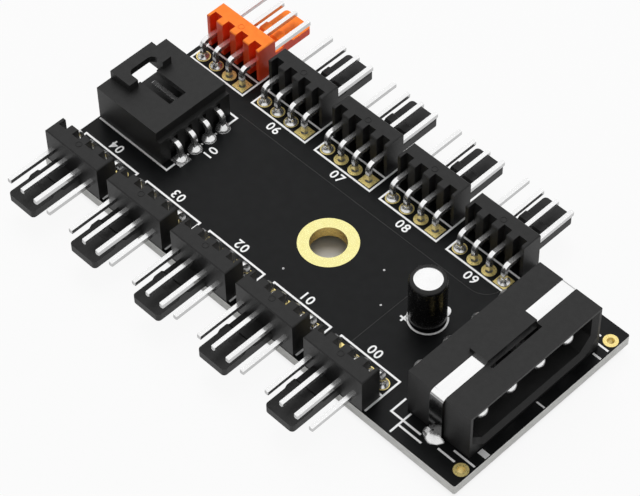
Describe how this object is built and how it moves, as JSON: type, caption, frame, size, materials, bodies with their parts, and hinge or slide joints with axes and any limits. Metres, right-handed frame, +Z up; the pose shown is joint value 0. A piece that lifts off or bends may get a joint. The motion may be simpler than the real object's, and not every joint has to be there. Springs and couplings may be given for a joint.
{
  "type": "pc fan controller hub",
  "caption": "Black circuit board that shares one power feed and one speed signal among rows of right-angle fan headers, with a strapped power socket and a central mounting hole.",
  "frame": {"origin": "on the axis of the mounting hole, at the board's underside", "axes": "+X along the board to the power socket, +Y to the row of ports 5 to 9, +Z up out of the board"},
  "size_m": [0.0742, 0.0483, 0.0116],
  "materials": {
    "solder_mask": "satin black mask",
    "gold_plating": "bright gold plate",
    "solder": "bright solder",
    "black_plastic": "moulded",
    "orange_plastic": "moulded",
    "tinned_pins": "bright tin",
    "tinned_strap": "tinned strip",
    "bare_can": "drawn can",
    "shrunk_sleeve": "shrunk film",
    "rubber_bung": "moulded"
  },
  "bodies": {
    "root": {"circuit_board": "solder_mask", "mounting_hole_plating": "gold_plating", "corner_pads": "gold_plating", "near_row_pads": "gold_plating", "far_row_pads": "gold_plating", "signal_pads": "gold_plating", "power_pads": "gold_plating", "near_row_solder": "solder", "far_row_solder": "solder", "signal_solder": "solder", "power_solder": "solder", "strap_solder_under": "solder", "capacitor_solder": "solder", "strap_solder": "solder", "fan_housing_0": "black_plastic", "fan_housing_1": "black_plastic", "fan_housing_2": "black_plastic", "fan_housing_3": "black_plastic", "fan_housing_4": "black_plastic", "fan_housing_6": "black_plastic", "fan_housing_7": "black_plastic", "fan_housing_8": "black_plastic", "fan_housing_9": "black_plastic", "signal_housing": "black_plastic", "power_housing": "black_plastic", "fan_housing_5": "orange_plastic", "fan_pins_0": "tinned_pins", "fan_pins_1": "tinned_pins", "fan_pins_2": "tinned_pins", "fan_pins_3": "tinned_pins", "fan_pins_4": "tinned_pins", "fan_pins_5": "tinned_pins", "fan_pins_6": "tinned_pins", "fan_pins_7": "tinned_pins", "fan_pins_8": "tinned_pins", "fan_pins_9": "tinned_pins", "signal_pins": "tinned_pins", "power_pins": "tinned_pins", "capacitor_leads": "tinned_pins", "power_strap": "tinned_strap", "capacitor_can": "bare_can", "capacitor_sleeve": "shrunk_sleeve", "capacitor_bung": "rubber_bung"}
  },
  "joints": []
}
